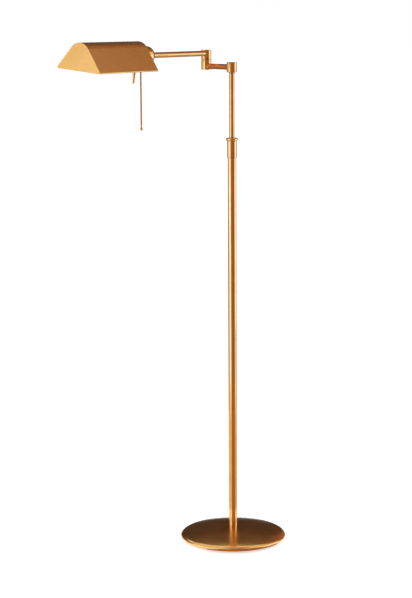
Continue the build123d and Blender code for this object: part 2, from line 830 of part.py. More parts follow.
pieces = {
    "base_pad": base_pad,
    "base_weight": base_weight,
    "base_shell": base_shell,
    "base_nipple": base_nipple,
    "base_washer": base_washer,
    "base_nut": base_nut,
    "cord_gland": cord_gland,
    "lower_tube": lower_tube,
    "tube_foot": tube_foot,
    "collar_sleeve": collar_sleeve,
    "collar_bush": collar_bush,
    "collar_cap": collar_cap,
    "riser_tube": riser_tube,
    "riser_guide": riser_guide,
    "riser_spindle": riser_spindle,
    "pole_glide": pole_glide,
    "pole_spring_washer": pole_spring_washer,
    "pole_nut": pole_nut,
    "pole_knuckle": pole_knuckle,
    "pole_knuckle_cap": pole_knuckle_cap,
    "lower_arm_tube": lower_arm_tube,
    "elbow_lower": elbow_lower,
    "elbow_lower_cap": elbow_lower_cap,
    "elbow_bolt": elbow_bolt,
    "elbow_glide": elbow_glide,
    "elbow_spring_washer": elbow_spring_washer,
    "elbow_nut": elbow_nut,
    "elbow_upper": elbow_upper,
    "elbow_upper_cap": elbow_upper_cap,
    "elbow_set_screw": elbow_set_screw,
    "upper_arm_tube": upper_arm_tube,
    "spindle_bush": spindle_bush,
    "head_spindle": head_spindle,
    "spindle_washer": spindle_washer,
    "spindle_nut": spindle_nut,
    "socket_cup": socket_cup,
    "switch_housing": switch_housing,
    "lamp_holder": lamp_holder,
    "holder_shell": holder_shell,
    "holder_contact": holder_contact,
    "bulb_cap": bulb_cap,
    "bulb_glass": bulb_glass,
    "shade_clamp": shade_clamp,
    "turn_handle": turn_handle,
    "shade_roof": shade_roof,
    "shade_arm_end": shade_arm_end,
    "shade_free_end": shade_free_end,
    "chain_guide": chain_guide,
    "switch_plunger": switch_plunger,
    "bead_chain": bead_chain,
    "chain_drop": chain_drop,
}

os.makedirs("parts", exist_ok=True)
for name, piece in pieces.items():
    piece.part.label = name
    export_step(piece.part, f"parts/{name}.step")
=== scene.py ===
import json
import math

import bmesh
import bpy
from mathutils import Matrix, Vector

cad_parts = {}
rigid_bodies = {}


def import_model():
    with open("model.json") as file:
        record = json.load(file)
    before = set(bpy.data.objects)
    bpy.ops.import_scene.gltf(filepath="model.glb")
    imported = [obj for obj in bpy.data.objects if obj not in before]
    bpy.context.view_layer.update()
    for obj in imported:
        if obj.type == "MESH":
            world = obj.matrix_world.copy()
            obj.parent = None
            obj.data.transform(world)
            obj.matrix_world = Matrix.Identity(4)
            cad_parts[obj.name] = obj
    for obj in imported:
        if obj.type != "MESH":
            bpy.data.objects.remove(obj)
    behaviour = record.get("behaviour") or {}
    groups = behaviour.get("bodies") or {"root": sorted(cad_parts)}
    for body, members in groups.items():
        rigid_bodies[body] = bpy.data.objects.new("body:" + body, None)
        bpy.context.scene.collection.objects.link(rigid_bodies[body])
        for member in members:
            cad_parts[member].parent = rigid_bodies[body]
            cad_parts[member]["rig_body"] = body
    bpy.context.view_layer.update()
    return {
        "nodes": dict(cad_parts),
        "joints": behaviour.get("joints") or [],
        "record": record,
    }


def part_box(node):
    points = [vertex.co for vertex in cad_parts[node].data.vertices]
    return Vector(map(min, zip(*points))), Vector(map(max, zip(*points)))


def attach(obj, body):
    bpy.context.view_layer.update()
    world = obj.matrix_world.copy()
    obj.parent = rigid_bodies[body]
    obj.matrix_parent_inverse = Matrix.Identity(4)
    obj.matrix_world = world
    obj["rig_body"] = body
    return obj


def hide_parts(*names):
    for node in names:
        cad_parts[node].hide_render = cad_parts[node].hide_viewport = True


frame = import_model()
scene = bpy.context.scene
scene.view_settings.view_transform = "Standard"
nodes = frame["nodes"]
joints = {joint["name"]: joint for joint in frame["joints"]}
slots = {part["node"]: part["material_slot"] for part in frame["record"]["subparts"]}
mm = 0.001
print("frame loaded,", len(nodes), "nodes")


def aimed(origin, heading):
    return Matrix.Translation(origin) @ Vector(heading).to_track_quat("Z", "Y").to_matrix().to_4x4()


# places that many pieces share, read from the frame
elbowAxis = Vector(joints["elbow_swivel"]["pos_m"])
armStart = Vector((elbowAxis.x, elbowAxis.y, joints["shade_turn"]["pos_m"][2]))  # long arm's elbow end
armHeading = Vector((-1, 0, 0))
shortHeading = Vector((elbowAxis.x, elbowAxis.y, 0)).normalized()
shortHeight = joints["pole_swivel"]["pos_m"][2]
headDown = Vector(joints["switch_pull"]["axis"]).normalized()
chainPivot = Vector(joints["chain_swing"]["pos_m"])
headTurn = Matrix((armHeading.cross(headDown), Vector((1, 0, 0)), -headDown)).transposed().to_4x4()
headPlace = Matrix.Translation((0, armStart.y, armStart.z)) @ headTurn  # X across, Y along, Z to the ridge
armPlace = aimed(armStart, armHeading)
elbowPlace = Matrix.Translation((elbowAxis.x, elbowAxis.y, 0))
shortPlace = aimed((0, 0, shortHeight), shortHeading)
dropPlace = Matrix.Translation((chainPivot.x, chainPivot.y, 0))


# camera
view = {"azimuth": -58.296, "distance": 3.8797, "height": 1.2428, "lens": 99.55, "sensor": 36,
        "pitch": 9.5406, "yaw": 0.9288, "roll": -0.328}
stand = math.radians(view["azimuth"])
turn = math.radians(view["azimuth"] + view["yaw"])
tip = math.radians(view["pitch"])
roll = math.radians(view["roll"])
forward = Vector((-math.sin(turn) * math.cos(tip), math.cos(turn) * math.cos(tip), -math.sin(tip)))
right = Vector((math.cos(turn), math.sin(turn), 0))
up = right.cross(forward)
across = right * math.cos(roll) + up * math.sin(roll)
upward = up * math.cos(roll) - right * math.sin(roll)
cameraData = bpy.data.cameras.new("camera")
cameraData.lens = view["lens"]
cameraData.sensor_width = view["sensor"]
camera = bpy.data.objects.new("camera", cameraData)
scene.collection.objects.link(camera)
camera.matrix_world = Matrix.Translation(
    (math.sin(stand) * view["distance"], -math.cos(stand) * view["distance"], view["height"])
) @ Matrix((across, upward, -forward)).transposed().to_4x4()
scene.camera = camera
print("camera set")


# shader helpers
def addNode(tree, kind, **values):
    node = tree.nodes.new(kind)
    for key, value in values.items():
        if key in node.inputs:
            node.inputs[key].default_value = value
        else:
            setattr(node, key, value)
    return node


def mathNode(tree, operation, first, second=None):
    node = addNode(tree, "ShaderNodeMath", operation=operation)
    for socket, value in zip(node.inputs, (first, second)):
        if isinstance(value, (int, float)):
            socket.default_value = value
        elif value is not None:
            tree.links.new(value, socket)
    return node.outputs[0]


def vectorNode(tree, operation, *sources, scale=None):
    node = addNode(tree, "ShaderNodeVectorMath", operation=operation)
    for socket, source in zip(node.inputs, sources):
        tree.links.new(source, socket)
    if scale is not None:
        tree.links.new(scale, node.inputs["Scale"])
    return node.outputs


def combined(tree, *sources):
    node = addNode(tree, "ShaderNodeCombineXYZ")
    for socket, source in zip(node.inputs, sources):
        if source is not None:
            tree.links.new(source, socket)
    return node.outputs[0]


def separated(tree, vector):
    node = addNode(tree, "ShaderNodeSeparateXYZ")
    tree.links.new(vector, node.inputs[0])
    return node.outputs


def noiseNode(tree, vector, links=None, **values):
    node = addNode(tree, "ShaderNodeTexNoise", **values)
    for key, source in {"Vector": vector, **(links or {})}.items():
        tree.links.new(source, node.inputs[key])
    return node.outputs[0]


def mapRange(tree, value, low, high, newLow, newHigh):
    node = addNode(tree, "ShaderNodeMapRange", interpolation_type="SMOOTHSTEP")
    for index, number in enumerate((low, high, newLow, newHigh), 1):
        node.inputs[index].default_value = number
    tree.links.new(value, node.inputs[0])
    return node.outputs[0]


def mixColour(tree, factor, first, second):
    node = addNode(tree, "ShaderNodeMix", data_type="RGBA")
    for socket, value in zip((node.inputs[0], node.inputs[6], node.inputs[7]), (factor, first, second)):
        if isinstance(value, (int, float, tuple)):
            socket.default_value = value
        else:
            tree.links.new(value, socket)
    return node.outputs[2]


def addRelief(tree, shader, height, strength, depth):
    relief = addNode(tree, "ShaderNodeBump", Strength=strength, Distance=depth)
    tree.links.new(height, relief.inputs["Height"])
    tree.links.new(relief.outputs[0], shader.inputs["Normal"])


def seenRays(tree):
    # 1 for what the camera, a reflection or glass sees, 0 for what only lights the lamp
    rays = addNode(tree, "ShaderNodeLightPath").outputs
    return mathNode(tree, "MAXIMUM", rays["Is Camera Ray"],
                    mathNode(tree, "MAXIMUM", rays["Is Glossy Ray"], rays["Is Transmission Ray"]))


def newGroup(name, inputs, outputs):
    group = bpy.data.node_groups.new(name, "ShaderNodeTree")
    for label, kind, value in inputs:
        socket = group.interface.new_socket(name=label, in_out="INPUT", socket_type="NodeSocket" + kind)
        if value is not None:
            socket.default_value = value
    for label, kind in outputs:
        group.interface.new_socket(name=label, in_out="OUTPUT", socket_type="NodeSocket" + kind)
    return group, group.nodes.new("NodeGroupInput").outputs, group.nodes.new("NodeGroupOutput").inputs


def useGroup(tree, group, links, **values):
    node = tree.nodes.new("ShaderNodeGroup")
    node.node_tree = group
    for key, value in values.items():
        node.inputs[key].default_value = value
    for key, socket in links.items():
        tree.links.new(socket, node.inputs[key])
    return node.outputs


def newMaterial(name, place=Matrix()):
    material = bpy.data.materials.new(name)
    material.use_nodes = True
    tree = material.node_tree
    seat = addNode(tree, "ShaderNodeMapping", vector_type="TEXTURE", Location=place.translation[:],
                   Rotation=place.to_euler())
    tree.links.new(addNode(tree, "ShaderNodeTexCoord").outputs["Object"], seat.inputs["Vector"])
    return material, tree, tree.nodes["Principled BSDF"], seat.outputs[0]


# effects that several materials use
lineNoise = {"Scale": 1.0, "Detail": 2.0, "Roughness": 0.6}
cloudNoise = {"Scale": 24.0, "Detail": 4.0, "Roughness": 0.55}
grainOutputs = [("Lines", "Float"), ("Cloud", "Float")]

drawnGrain, source, result = newGroup(  # lines along the Z axis
    "drawnGrain", [("Vector", "Vector", None), ("Across", "Float", 2600.0), ("Along", "Float", 16.0)],
    grainOutputs)
tree = drawnGrain
squeeze = combined(tree, source["Across"], source["Across"], source["Along"])
stretched = vectorNode(tree, "MULTIPLY", source["Vector"], squeeze)[0]
tree.links.new(noiseNode(tree, stretched, **lineNoise), result["Lines"])
tree.links.new(noiseNode(tree, source["Vector"], **cloudNoise), result["Cloud"])

turnedGrain, source, result = newGroup(  # lathe lines round the Z axis, with no seam
    "turnedGrain", [("Vector", "Vector", None), ("Across", "Float", 2600.0), ("Round", "Float", 3.0)],
    grainOutputs)
tree = turnedGrain
parts = separated(tree, source["Vector"])
flat = combined(tree, parts[0], parts[1])
circle = vectorNode(tree, "NORMALIZE", flat)[0]
ring = vectorNode(tree, "SCALE", circle, scale=source["Round"])[0]
rise = combined(tree, None, None, mathNode(tree, "MULTIPLY", parts[2], source["Across"]))
along = vectorNode(tree, "ADD", ring, rise)[0]
radial = mathNode(tree, "MULTIPLY", vectorNode(tree, "LENGTH", flat)["Value"], source["Across"])
tree.links.new(noiseNode(tree, along, {"W": radial}, noise_dimensions="4D", **lineNoise), result["Lines"])
tree.links.new(noiseNode(tree, source["Vector"], **cloudNoise), result["Cloud"])

seamPatinaShade, source, result = newGroup(  # patina and painted shade: darkening where two pieces meet
    "seamPatinaShade", [("Vector", "Vector", None), ("Seat", "Float", 0.0), ("Reach", "Float", 2 * mm)],
    [("Mask", "Float")])
tree = seamPatinaShade
height = separated(tree, source["Vector"])[2]
gap = mathNode(tree, "ABSOLUTE", mathNode(tree, "SUBTRACT", height, source["Seat"]))
near = mathNode(tree, "SUBTRACT", 1.0, mathNode(tree, "DIVIDE", gap, source["Reach"]))
near = mathNode(tree, "MAXIMUM", near, 0.0)
patch = noiseNode(tree, source["Vector"], Scale=420.0, Detail=3.0, Roughness=0.6)
tree.links.new(mathNode(tree, "MULTIPLY", mathNode(tree, "MULTIPLY", near, near),
                        mathNode(tree, "ADD", patch, 0.3)), result["Mask"])

agedBrass, source, result = newGroup(
    "agedBrass",
    [("Vector", "Vector", None), ("Lines", "Float", 0.5), ("Cloud", "Float", 0.5), ("PatinaShade", "Float", 0.0),
     ("Bright", "Color", (0.83, 0.475, 0.148, 1)), ("Deep", "Color", (0.70, 0.355, 0.096, 1)),
     ("StainAndShade", "Color", (0.17, 0.085, 0.034, 1)), ("Gloss", "Float", 0.24)],
    [("Color", "Color"), ("Roughness", "Float"), ("Height", "Float")])
tree = agedBrass
clouds = mapRange(tree, source["Cloud"], 0.32, 0.7, 0.0, 0.5)
body = mixColour(tree, clouds, source["Bright"], source["Deep"])
body = mixColour(tree, mapRange(tree, source["Lines"], 0.25, 0.75, 0.10, 0.0), body, source["Deep"])
fleck = noiseNode(tree, source["Vector"], Scale=900.0, Detail=2.0, Roughness=0.5)
spots = mapRange(tree, fleck, 0.70, 0.80, 0.0, 0.14)  # small lacquer spots
body = mixColour(tree, spots, body, source["StainAndShade"])
# patina and painted shade at the seams, in the same dark colour as the lacquer spots
body = mixColour(tree, mathNode(tree, "MINIMUM", source["PatinaShade"], 0.85), body, source["StainAndShade"])
tree.links.new(body, result["Color"])
rough = mathNode(tree, "ADD", source["Gloss"], mapRange(tree, source["Lines"], 0.3, 0.7, -0.012, 0.012))
rough = mathNode(tree, "ADD", rough, mapRange(tree, source["Cloud"], 0.35, 0.7, -0.01, 0.02))
rough = mathNode(tree, "ADD", rough, mathNode(tree, "MULTIPLY", source["PatinaShade"], 0.25))
rough = mathNode(tree, "ADD", rough, mathNode(tree, "MULTIPLY", spots, 0.2))
tree.links.new(rough, result["Roughness"])
pits = mathNode(tree, "MULTIPLY", spots, 0.5)
tree.links.new(mathNode(tree, "SUBTRACT", source["Lines"], pits), result["Height"])

speckle, source, result = newGroup(  # fine grain over broad patches, for the plain materials
    "speckle", [("Vector", "Vector", None), ("Scale", "Float", 1000.0)],
    [("Shade", "Float"), ("Fine", "Float")])
tree = speckle
fine = noiseNode(tree, source["Vector"], {"Scale": source["Scale"]}, Detail=5.0, Roughness=0.62)
broadScale = mathNode(tree, "MULTIPLY", source["Scale"], 0.06)
broad = noiseNode(tree, source["Vector"], {"Scale": broadScale}, Detail=3.0, Roughness=0.5)
tree.links.new(mathNode(tree, "ADD", mathNode(tree, "MULTIPLY", fine, 0.6),
                        mathNode(tree, "MULTIPLY", broad, 0.4)), result["Shade"])
tree.links.new(fine, result["Fine"])
print("shader groups built")


def brass(name, grain, place=Matrix(), seams=(), gloss=0.14, across=2600.0, lacquer=0.3, spun=0.0, **tones):
    # each seam is (place along Z, reach of its patina and painted shade)
    material, tree, shader, vector = newMaterial(name, place)
    texture = useGroup(tree, grain, {"Vector": vector}, Across=across)
    links = {"Vector": vector, "Lines": texture["Lines"], "Cloud": texture["Cloud"]}
    for seatAt, reach in seams:
        mask = useGroup(tree, seamPatinaShade, {"Vector": vector}, Seat=seatAt, Reach=reach)["Mask"]
        links["PatinaShade"] = mathNode(tree, "MAXIMUM", links["PatinaShade"], mask) if "PatinaShade" in links else mask
    colours = {key: (*tone, 1) for key, tone in tones.items()}
    finish = useGroup(tree, agedBrass, links, Gloss=gloss, **colours)
    tree.links.new(finish["Color"], shader.inputs["Base Color"])
    tree.links.new(finish["Roughness"], shader.inputs["Roughness"])
    shader.inputs["Metallic"].default_value = 1.0
    shader.inputs["Coat Weight"].default_value = lacquer
    shader.inputs["Coat Roughness"].default_value = 0.1
    if spun:  # spinning lines that run round the Z axis pull the reflections out
        shader.inputs["Anisotropic"].default_value = spun
        circles = addNode(tree, "ShaderNodeTangent", direction_type="RADIAL", axis="Z")
        tree.links.new(circles.outputs[0], shader.inputs["Tangent"])
    addRelief(tree, shader, finish["Height"], strength=0.006, depth=0.06 * mm)
    return material


def grainy(name, colours, rough, scale, bump, depth, metal=0.0, sockets=None):
    material, tree, shader, vector = newMaterial(name)
    pattern = useGroup(tree, speckle, {"Vector": vector}, Scale=scale)
    light, dark = ((*colour, 1) for colour in colours)
    mixed = mapRange(tree, pattern["Shade"], 0.35, 0.65, 0.0, 1.0)
    tree.links.new(mixColour(tree, mixed, light, dark), shader.inputs["Base Color"])
    tree.links.new(mapRange(tree, pattern["Shade"], 0.3, 0.7, *rough), shader.inputs["Roughness"])
    for key, value in {"Metallic": metal, **(sockets or {})}.items():
        shader.inputs[key].default_value = value
    addRelief(tree, shader, pattern["Fine"], bump, depth)
    return material


# plain finishes by material slot, and the enamel and the screw, which have no slot of their own
plainLooks = {
    "iron_cast": {"name": "castIron", "colours": ((0.028, 0.028, 0.03), (0.055, 0.052, 0.05)),
                  "rough": (0.55, 0.8), "scale": 520.0, "bump": 0.5, "depth": 0.6 * mm, "metal": 0.3},
    "felt": {"name": "greenFelt", "colours": ((0.012, 0.045, 0.028), (0.030, 0.085, 0.055)),
             "rough": (0.85, 1.0), "scale": 1400.0, "bump": 0.8, "depth": 0.5 * mm,
             "sockets": {"Sheen Weight": 0.4}},
    "nylon": {"name": "brownNylon", "colours": ((0.12, 0.075, 0.042), (0.085, 0.052, 0.030)),
              "rough": (0.38, 0.55), "scale": 900.0, "bump": 0.1, "depth": 0.2 * mm},
    "steel_plain": {"name": "zincSteel", "colours": ((0.62, 0.62, 0.60), (0.48, 0.48, 0.47)),
                    "rough": (0.28, 0.45), "scale": 1500.0, "bump": 0.2, "depth": 0.1 * mm, "metal": 1.0},
    "black_plastic": {"name": "blackPlastic", "colours": ((0.018, 0.018, 0.019), (0.030, 0.030, 0.031)),
                      "rough": (0.42, 0.6), "scale": 1100.0, "bump": 0.25, "depth": 0.3 * mm},
    "porcelain": {"name": "glazedPorcelain", "colours": ((0.83, 0.81, 0.76), (0.75, 0.73, 0.68)),
                  "rough": (0.14, 0.24), "scale": 300.0, "bump": 0.06, "depth": 0.3 * mm,
                  "sockets": {"Coat Weight": 0.4}},
    "bulb_metal": {"name": "bulbCapMetal", "colours": ((0.72, 0.71, 0.69), (0.58, 0.57, 0.55)),
                   "rough": (0.22, 0.38), "scale": 1300.0, "bump": 0.2, "depth": 0.1 * mm, "metal": 1.0},
    "frosted_glass": {"name": "frostedGlass", "colours": ((0.93, 0.92, 0.89), (0.88, 0.87, 0.83)),
                      "rough": (0.42, 0.56), "scale": 1200.0, "bump": 0.15, "depth": 0.2 * mm,
                      "sockets": {"Transmission Weight": 0.45, "IOR": 1.45}},
    "enamel": {"name": "whiteEnamel", "colours": ((0.86, 0.85, 0.81), (0.80, 0.78, 0.73)),
               "rough": (0.28, 0.42), "scale": 260.0, "bump": 0.12, "depth": 0.3 * mm},
    "screw": {"name": "blackScrew", "colours": ((0.030, 0.028, 0.027), (0.055, 0.050, 0.046)),
              "rough": (0.35, 0.5), "scale": 1800.0, "bump": 0.2, "depth": 0.1 * mm, "metal": 0.8},
}
finishes = {slot: grainy(**look) for slot, look in plainLooks.items()}
print("plain finishes made")


def newObject(name, bm, *materials):
    mesh = bpy.data.meshes.new(name)
    bm.to_mesh(mesh)
    bm.free()
    for material in materials:
        mesh.materials.append(material)
    made = bpy.data.objects.new(name, mesh)
    scene.collection.objects.link(made)
    return made


# studio: white round the lamp, two soft boxes, and cards that only reflections show
studio = {"worldFill": 0.55, "floorColour": (0.86, 0.86, 0.86, 1), "floorRough": 0.9, "floorGlow": 0.62,
          "floorReach": 60.0}
white = (1, 1, 1, 1)
world = bpy.data.worlds.new("studio")
scene.world = world
world.use_nodes = True
tree = world.node_tree
background = tree.nodes["Background"].inputs
background["Color"].default_value = white
seen = mathNode(tree, "MULTIPLY", seenRays(tree), 1 - studio["worldFill"])
tree.links.new(mathNode(tree, "ADD", studio["worldFill"], seen), background["Strength"])

floorPaper, tree, shader = newMaterial("floorPaper")[:3]
for key, value in {"Base Color": studio["floorColour"], "Roughness": studio["floorRough"],
                   "Specular IOR Level": 0.0, "Emission Color": white}.items():
    shader.inputs[key].default_value = value
glow = mathNode(tree, "MULTIPLY", seenRays(tree), studio["floorGlow"])
tree.links.new(glow, shader.inputs["Emission Strength"])
bm = bmesh.new()
bmesh.ops.create_grid(bm, x_segments=1, y_segments=1, size=studio["floorReach"])
floor = newObject("floor", bm, floorPaper)

# angles are taken from the camera, to the right as the camera sees it
lamps = [
    {"name": "lampLeft", "beside": -55, "away": 1.9, "high": 1.3, "wide": 1.5, "tall": 1.8, "power": 14.0},
    {"name": "lampRight", "beside": 95, "away": 1.9, "high": 1.3, "wide": 1.3, "tall": 1.8, "power": 11.0},
]
for lamp in lamps:
    heading = math.radians(view["azimuth"] + lamp["beside"])
    outward = Vector((math.sin(heading), -math.cos(heading), 0))
    data = bpy.data.lights.new(lamp["name"], "AREA")
    data.shape = "RECTANGLE"
    data.size = lamp["wide"]
    data.size_y = lamp["tall"]
    data.energy = lamp["power"]
    light = bpy.data.objects.new(lamp["name"], data)
    scene.collection.objects.link(light)
    light.matrix_world = aimed(outward * lamp["away"] + Vector((0, 0, lamp["high"])), outward)
    light.visible_camera = False
    light.visible_glossy = False  # the cards below stand for it in reflections

# a card is an edge, near and far as (out, high), swept between two angles round the lamp,
# or a flat sheet with corners as (beside, toward the camera, high)
boxOut, frontOut, backOut = 1.75, 1.60, 6.0
floorLift = 0.6 * mm
cardSteps = 24
cards = [
    {"name": "boxLeft", "sweep": (-86, -38), "near": (boxOut, 0.0), "far": (boxOut, 0.5),
     "colour": (1.35, 1.9, 3.1)},
    {"name": "boxLeftMid", "sweep": (-97, -45), "near": (boxOut, 0.5), "far": (boxOut, 0.86),
     "colour": (1.4, 2.0, 3.4)},
    {"name": "boxLeftHigh", "sweep": (-57, -41), "near": (boxOut, 0.86), "far": (boxOut, 1.3),
     "colour": (1.55, 2.1, 3.2)},
    {"name": "boxBackLeft", "sweep": (-142, -126), "near": (boxOut, 1.18), "far": (boxOut, 1.5),
     "colour": (1.35, 1.8, 2.8)},
    {"name": "boxRight", "sweep": (76, 121), "near": (boxOut, 0.2), "far": (boxOut, 0.5),
     "colour": (1.35, 1.9, 3.1)},
    {"name": "boxRightMid", "sweep": (71, 116), "near": (boxOut, 0.5), "far": (boxOut, 0.9),
     "colour": (1.4, 1.95, 3.2)},
    {"name": "boxRightHigh", "sweep": (73, 121), "near": (boxOut, 0.9), "far": (boxOut, 1.35),
     "colour": (1.35, 1.75, 2.6)},
    {"name": "cardFrontLeft", "sweep": (-33, 16), "near": (frontOut, 0.0), "far": (frontOut, 2.6),
     "colour": (0.43, 0.22, 0.14)},
    {"name": "cardFrontRight", "sweep": (16, 64), "near": (frontOut, 0.0), "far": (frontOut, 2.6),
     "colour": (0.36, 0.18, 0.12)},
    {"name": "cardBack", "sweep": (167, 226), "near": (backOut, 0.0), "far": (backOut, 3.5),
     "colour": (0.068, 0.040, 0.029)},
    {"name": "cardBackHigh", "sweep": (150, 226), "near": (backOut, 3.5), "far": (backOut, 6.4),
     "colour": (0.13, 0.078, 0.06)},
    {"name": "cardBackRight", "sweep": (122, 167), "near": (backOut, 0.0), "far": (backOut, 8.0),
     "colour": (0.355, 0.166, 0.094)},
    {"name": "cardBackLeft", "sweep": (226, 256), "near": (backOut, 0.0), "far": (backOut, 5.3),
     "colour": (0.45, 0.31, 0.25)},
    {"name": "cardTop", "corners": [(-0.4, -0.9, 3.2), (1.0, -0.9, 3.2), (1.0, 3.0, 3.2), (-0.4, 3.0, 3.2)],
     "colour": (0.52, 0.33, 0.25)},
    {"name": "floorFront", "sweep": (-32, 62), "near": (0.118, floorLift), "far": (frontOut, floorLift),
     "colour": (0.45, 0.24, 0.16)},
    {"name": "floorSideRight", "sweep": (62, 150), "near": (0.25, floorLift), "far": (1.4, floorLift),
     "colour": (0.92, 0.78, 0.62)},
    {"name": "floorSideLeft", "sweep": (-145, -32), "near": (0.25, floorLift), "far": (1.4, floorLift),
     "colour": (1.0, 0.88, 0.72)},
    {"name": "floorBackCold", "sweep": (150, 180), "near": (0.26, floorLift), "far": (1.4, floorLift),
     "colour": (0.09, 0.115, 0.13)},
    {"name": "floorBack", "sweep": (180, 215), "near": (0.26, floorLift), "far": (1.4, floorLift),
     "colour": (0.11, 0.088, 0.09)},
    {"name": "floorBackFar", "sweep": (176, 215), "near": (1.4, floorLift), "far": (backOut, floorLift),
     "colour": (0.12, 0.085, 0.065)},
    {"name": "floorRight", "sweep": (122, 176), "near": (1.4, floorLift), "far": (backOut, floorLift),
     "colour": (0.52, 0.36, 0.28)},
    {"name": "floorLeft", "sweep": (215, 262), "near": (1.4, floorLift), "far": (backOut, floorLift),
     "colour": (0.40, 0.23, 0.16)},
]
facing = Matrix.Rotation(math.radians(view["azimuth"]), 4, "Z")
for card in cards:
    material = bpy.data.materials.new(card["name"])
    material.use_nodes = True
    tree = material.node_tree
    tree.nodes.remove(tree.nodes["Principled BSDF"])
    glow = addNode(tree, "ShaderNodeEmission", Color=(*card["colour"], 1), Strength=1.0)
    tree.links.new(glow.outputs[0], tree.nodes["Material Output"].inputs["Surface"])
    bm = bmesh.new()
    if "corners" in card:
        bm.faces.new([bm.verts.new((beside, -toward, high)) for beside, toward, high in card["corners"]])
    else:
        first, last = (math.radians(angle) for angle in card["sweep"])
        edge = bm.edges.new([bm.verts.new((math.sin(first) * out, -math.cos(first) * out, high))
                             for out, high in (card["near"], card["far"])])
        bmesh.ops.spin(bm, geom=[edge, *edge.verts], cent=(0, 0, 0), axis=(0, 0, 1), angle=last - first,
                       steps=cardSteps)
    bmesh.ops.transform(bm, matrix=facing, verts=bm.verts[:])
    sheet = newObject(card["name"], bm, material)
    sheet.visible_camera = False
    sheet.visible_diffuse = False
    sheet.visible_shadow = False
print("studio set")


# modelling helpers
hardEdge = 38  # degrees from which an edge stays sharp
arcStep = 11  # degrees that one step of a rounded corner may turn
seatGap = 0.05 * mm  # radial room of a pressed seat
roundSteps = {"base": 160, "tube": 96, "cap": 72, "hole": 64, "small": 48, "bead": 20, "beadRows": 12,
              "pin": 16, "wire": 12}


def arcSteps(angle):
    return max(3, math.ceil(angle / math.radians(arcStep)))


def bulgeOf(radius, sweep):
    return radius * (1 - math.cos(sweep / 2))  # how far an arc rises over its chord


def sweepVertex(bm, start, centre, end):
    spoke = start.co - centre
    angle = spoke.angle(end - centre)
    swept = bmesh.ops.spin(bm, geom=[start], cent=centre, axis=spoke.cross(end - centre).normalized(),
                           angle=angle, steps=arcSteps(angle))
    return swept["geom_last"][0]


def drawRun(bm, start, end, guard=0.8 * mm):
    # a long straight run gets a point near each end, so a rounded corner's shading stays in the corner
    run = end.co - start.co
    stops = [start, end]
    if run.length > 6 * guard:
        step = run.normalized() * guard
        stops[1:1] = [bm.verts.new(start.co + step), bm.verts.new(end.co - step)]
    for first, second in zip(stops, stops[1:]):
        bm.edges.new((first, second))


def drawSection(bm, corners, closed=False):
    # each corner is (out, along, fillet radius, bulge of the run that arrives there)
    spots = [Vector((corner[0], 0, corner[1])) for corner in corners]
    fillets = [corner[2] if len(corner) > 2 else 0 for corner in corners]
    bulges = [corner[3] if len(corner) > 3 else 0 for corner in corners]
    ends = []
    for index, spot in enumerate(spots):
        if bulges[index]:
            start = ends[-1][1]
            chord = spot - start.co
            side = Vector((-chord.z, 0, chord.x)).normalized()
            radius = (chord.length ** 2 / 4 + bulges[index] ** 2) / (2 * abs(bulges[index]))
            centre = (spot + start.co) / 2 + side * (bulges[index] - math.copysign(radius, bulges[index]))
            ends.append((None, sweepVertex(bm, start, centre, spot)))
        elif fillets[index]:
            before = (spots[index - 1] - spot).normalized()
            after = (spots[(index + 1) % len(spots)] - spot).normalized()
            half = before.angle(after) / 2
            reach = fillets[index] / math.tan(half)
            centre = spot + (before + after).normalized() * fillets[index] / math.sin(half)
            first = bm.verts.new(spot + before * reach)
            ends.append((first, sweepVertex(bm, first, centre, spot + after * reach)))
        else:
            vert = bm.verts.new(spot)
            ends.append((vert, vert))
        if index and not bulges[index]:
            drawRun(bm, ends[index - 1][1], ends[index][0])
    if closed:
        drawRun(bm, ends[-1][1], ends[0][0])


def turned(corners, place=Matrix(), closed=False, steps=roundSteps["tube"]):
    bm = bmesh.new()
    drawSection(bm, corners, closed)
    bmesh.ops.spin(bm, geom=bm.verts[:] + bm.edges[:], cent=(0, 0, 0), axis=(0, 0, 1), angle=math.tau,
                   steps=steps, use_merge=True)
    bmesh.ops.remove_doubles(bm, verts=bm.verts[:], dist=1e-6)
    bmesh.ops.recalc_face_normals(bm, faces=bm.faces[:])
    bmesh.ops.transform(bm, matrix=place, verts=bm.verts[:])
    return bm


def moveMade(bm, made, offset):
    verts = [item for item in made["geom"] if isinstance(item, bmesh.types.BMVert)]
    bmesh.ops.translate(bm, vec=offset, verts=verts)


def roundEdges(bm, edges, radius, segments=3):
    bmesh.ops.bevel(bm, geom=list(edges), offset=radius, segments=segments, profile=0.5, affect="EDGES",
                    material=-1, clamp_overlap=True)


def settle(piece, sharp=hardEdge):
    # the modifiers' result becomes the piece's own mesh, and its hard edges are marked
    depsgraph = bpy.context.evaluated_depsgraph_get()
    mesh = bpy.data.meshes.new_from_object(piece.evaluated_get(depsgraph))
    piece.modifiers.clear()
    old = piece.data
    piece.data = mesh
    bpy.data.meshes.remove(old)
    mesh.name = piece.name
    mesh.set_sharp_from_angle(angle=math.radians(sharp))


def addPiece(name, bm, material, *stoodFor, wall=0, inside=None, sharp=hardEdge):
    piece = newObject(name, bm, *filter(None, (material, inside)))
    piece.data.polygons.foreach_set("use_smooth", [True] * len(piece.data.polygons))
    if wall:
        sheet = piece.modifiers.new("sheet", "SOLIDIFY")
        sheet.thickness = wall
        sheet.offset = -1
        sheet.material_offset = 1 if inside else 0
    settle(piece, sharp)
    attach(piece, nodes[stoodFor[0]]["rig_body"])
    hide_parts(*stoodFor)
    return piece


def addTube(name, node, material, inner, outer, start, end, edge, place=Matrix()):
    section = [(inner, start), (outer, start, edge), (outer, end, edge), (inner, end)]
    addPiece(name, turned(section, place, closed=True), material, node)


